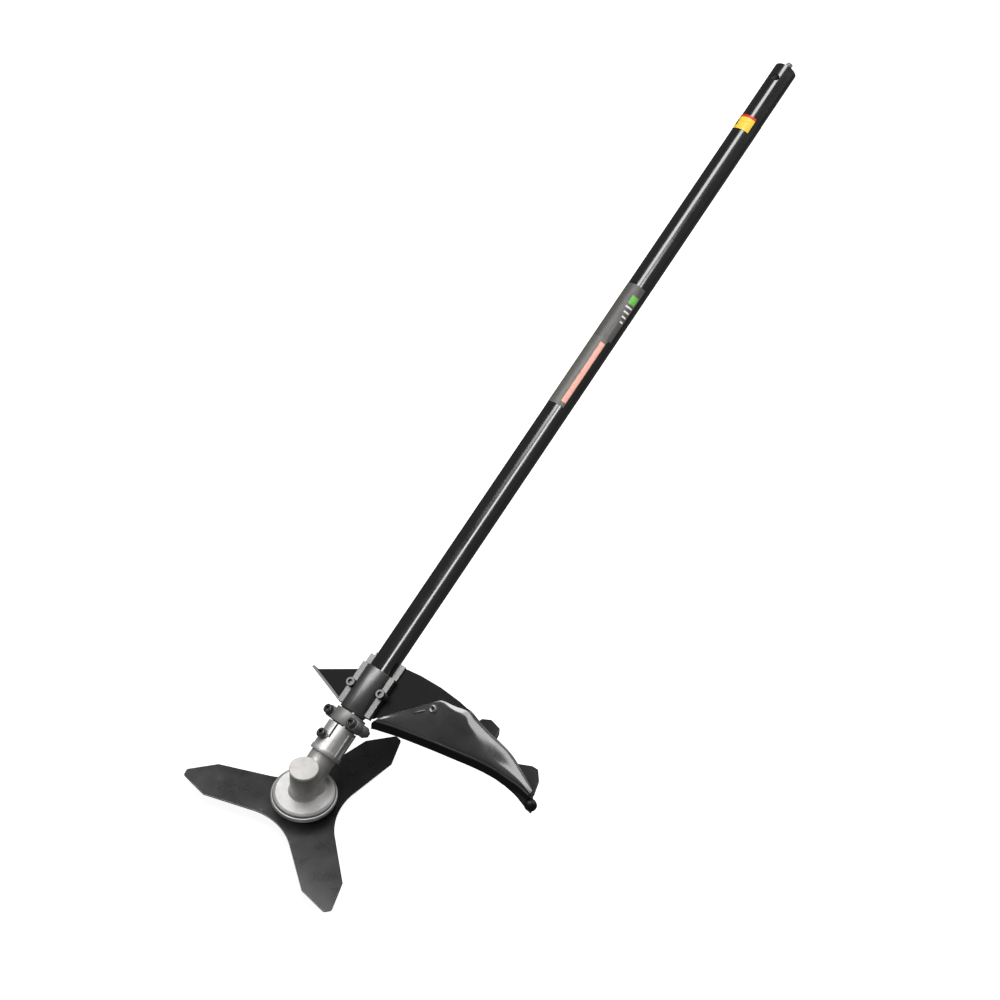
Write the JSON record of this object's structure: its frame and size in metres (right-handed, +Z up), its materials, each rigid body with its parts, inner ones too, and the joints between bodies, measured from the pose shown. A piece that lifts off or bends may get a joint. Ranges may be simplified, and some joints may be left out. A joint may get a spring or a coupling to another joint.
{
  "type": "brush cutter attachment",
  "caption": "Straight-shaft brush cutter attachment with an angled bevel gear head, a three-arm steel blade and a wide side guard clamped to the shaft.",
  "frame": {"origin": "on the spindle axis, at the foot of the glide cup under the blade nut", "axes": "+Z up along the spindle, square to the cutting plane; +Y is the level direction in which the shaft climbs towards the operator at 30 degrees; +X is the side the guard reaches out to"},
  "size_m": [0.3164, 0.895, 0.5223],
  "materials": {
    "tube_black": "gloss",
    "nylon": "matte",
    "steel": "satin",
    "race_steel": "polished",
    "cast_alloy": "satin",
    "clamp_alloy": "cast",
    "blade_black": "satin",
    "zinc_steel": "zinc",
    "seal_rubber": "matte",
    "red_film": "gloss",
    "yellow_film": "gloss",
    "grey_film": "gloss",
    "light_film": "gloss",
    "salmon_film": "gloss",
    "plate_black": "matte",
    "dome_black": "gloss"
  },
  "bodies": {
    "head": {"shaft_tube": "tube_black", "tube_top_bush": "nylon", "shaft_bushes": "nylon", "band_red": "red_film", "band_yellow": "yellow_film", "label_upper": "grey_film", "label_lower": "light_film", "label_stripe": "salmon_film", "gearcase": "cast_alloy", "gearcase_cap": "cast_alloy", "locating_screw": "zinc_steel", "grease_plug": "zinc_steel", "pinion_bearing_outer": "race_steel", "pinion_bearing_balls": "race_steel", "pinion_circlip": "steel", "upper_bearing_outer": "race_steel", "upper_bearing_balls": "race_steel", "lower_bearing_outer": "race_steel", "lower_bearing_balls": "race_steel", "spindle_seal": "seal_rubber", "collar_upper": "clamp_alloy", "collar_lower": "clamp_alloy", "collar_screws": "zinc_steel", "collar_nuts": "zinc_steel", "guard_clamp": "clamp_alloy", "guard_saddle": "clamp_alloy", "guard_clamp_screws": "zinc_steel", "guard_clamp_nuts": "zinc_steel", "guard_plate": "plate_black", "guard_dome": "dome_black", "guard_lip": "plate_black", "guard_lugs": "dome_black", "guard_rivet": "zinc_steel"},
    "cutter": {"spindle": "steel", "driven_gear": "steel", "upper_bearing_inner": "race_steel", "lower_bearing_inner": "race_steel", "blade_carrier": "steel", "blade": "blade_black", "clamp_washer": "zinc_steel", "glide_cup": "steel", "blade_nut": "zinc_steel"},
    "drive": {"drive_shaft": "steel", "pinion": "steel", "pinion_bearing_inner": "race_steel"}
  },
  "joints": [
    {"name": "blade_spin", "type": "hinge", "parent": "head", "child": "cutter", "pos_m": [0, 0, 0], "axis": [0, 0, 1], "continuous": true},
    {"name": "drive_spin", "type": "hinge", "parent": "head", "child": "drive", "pos_m": [0, 0, 0.0483], "axis": [0, 0.866, 0.5], "continuous": true}
  ],
  "couplings": [
    {"joint": "drive_spin", "follows": "blade_spin", "ratio": -1.3571}
  ]
}
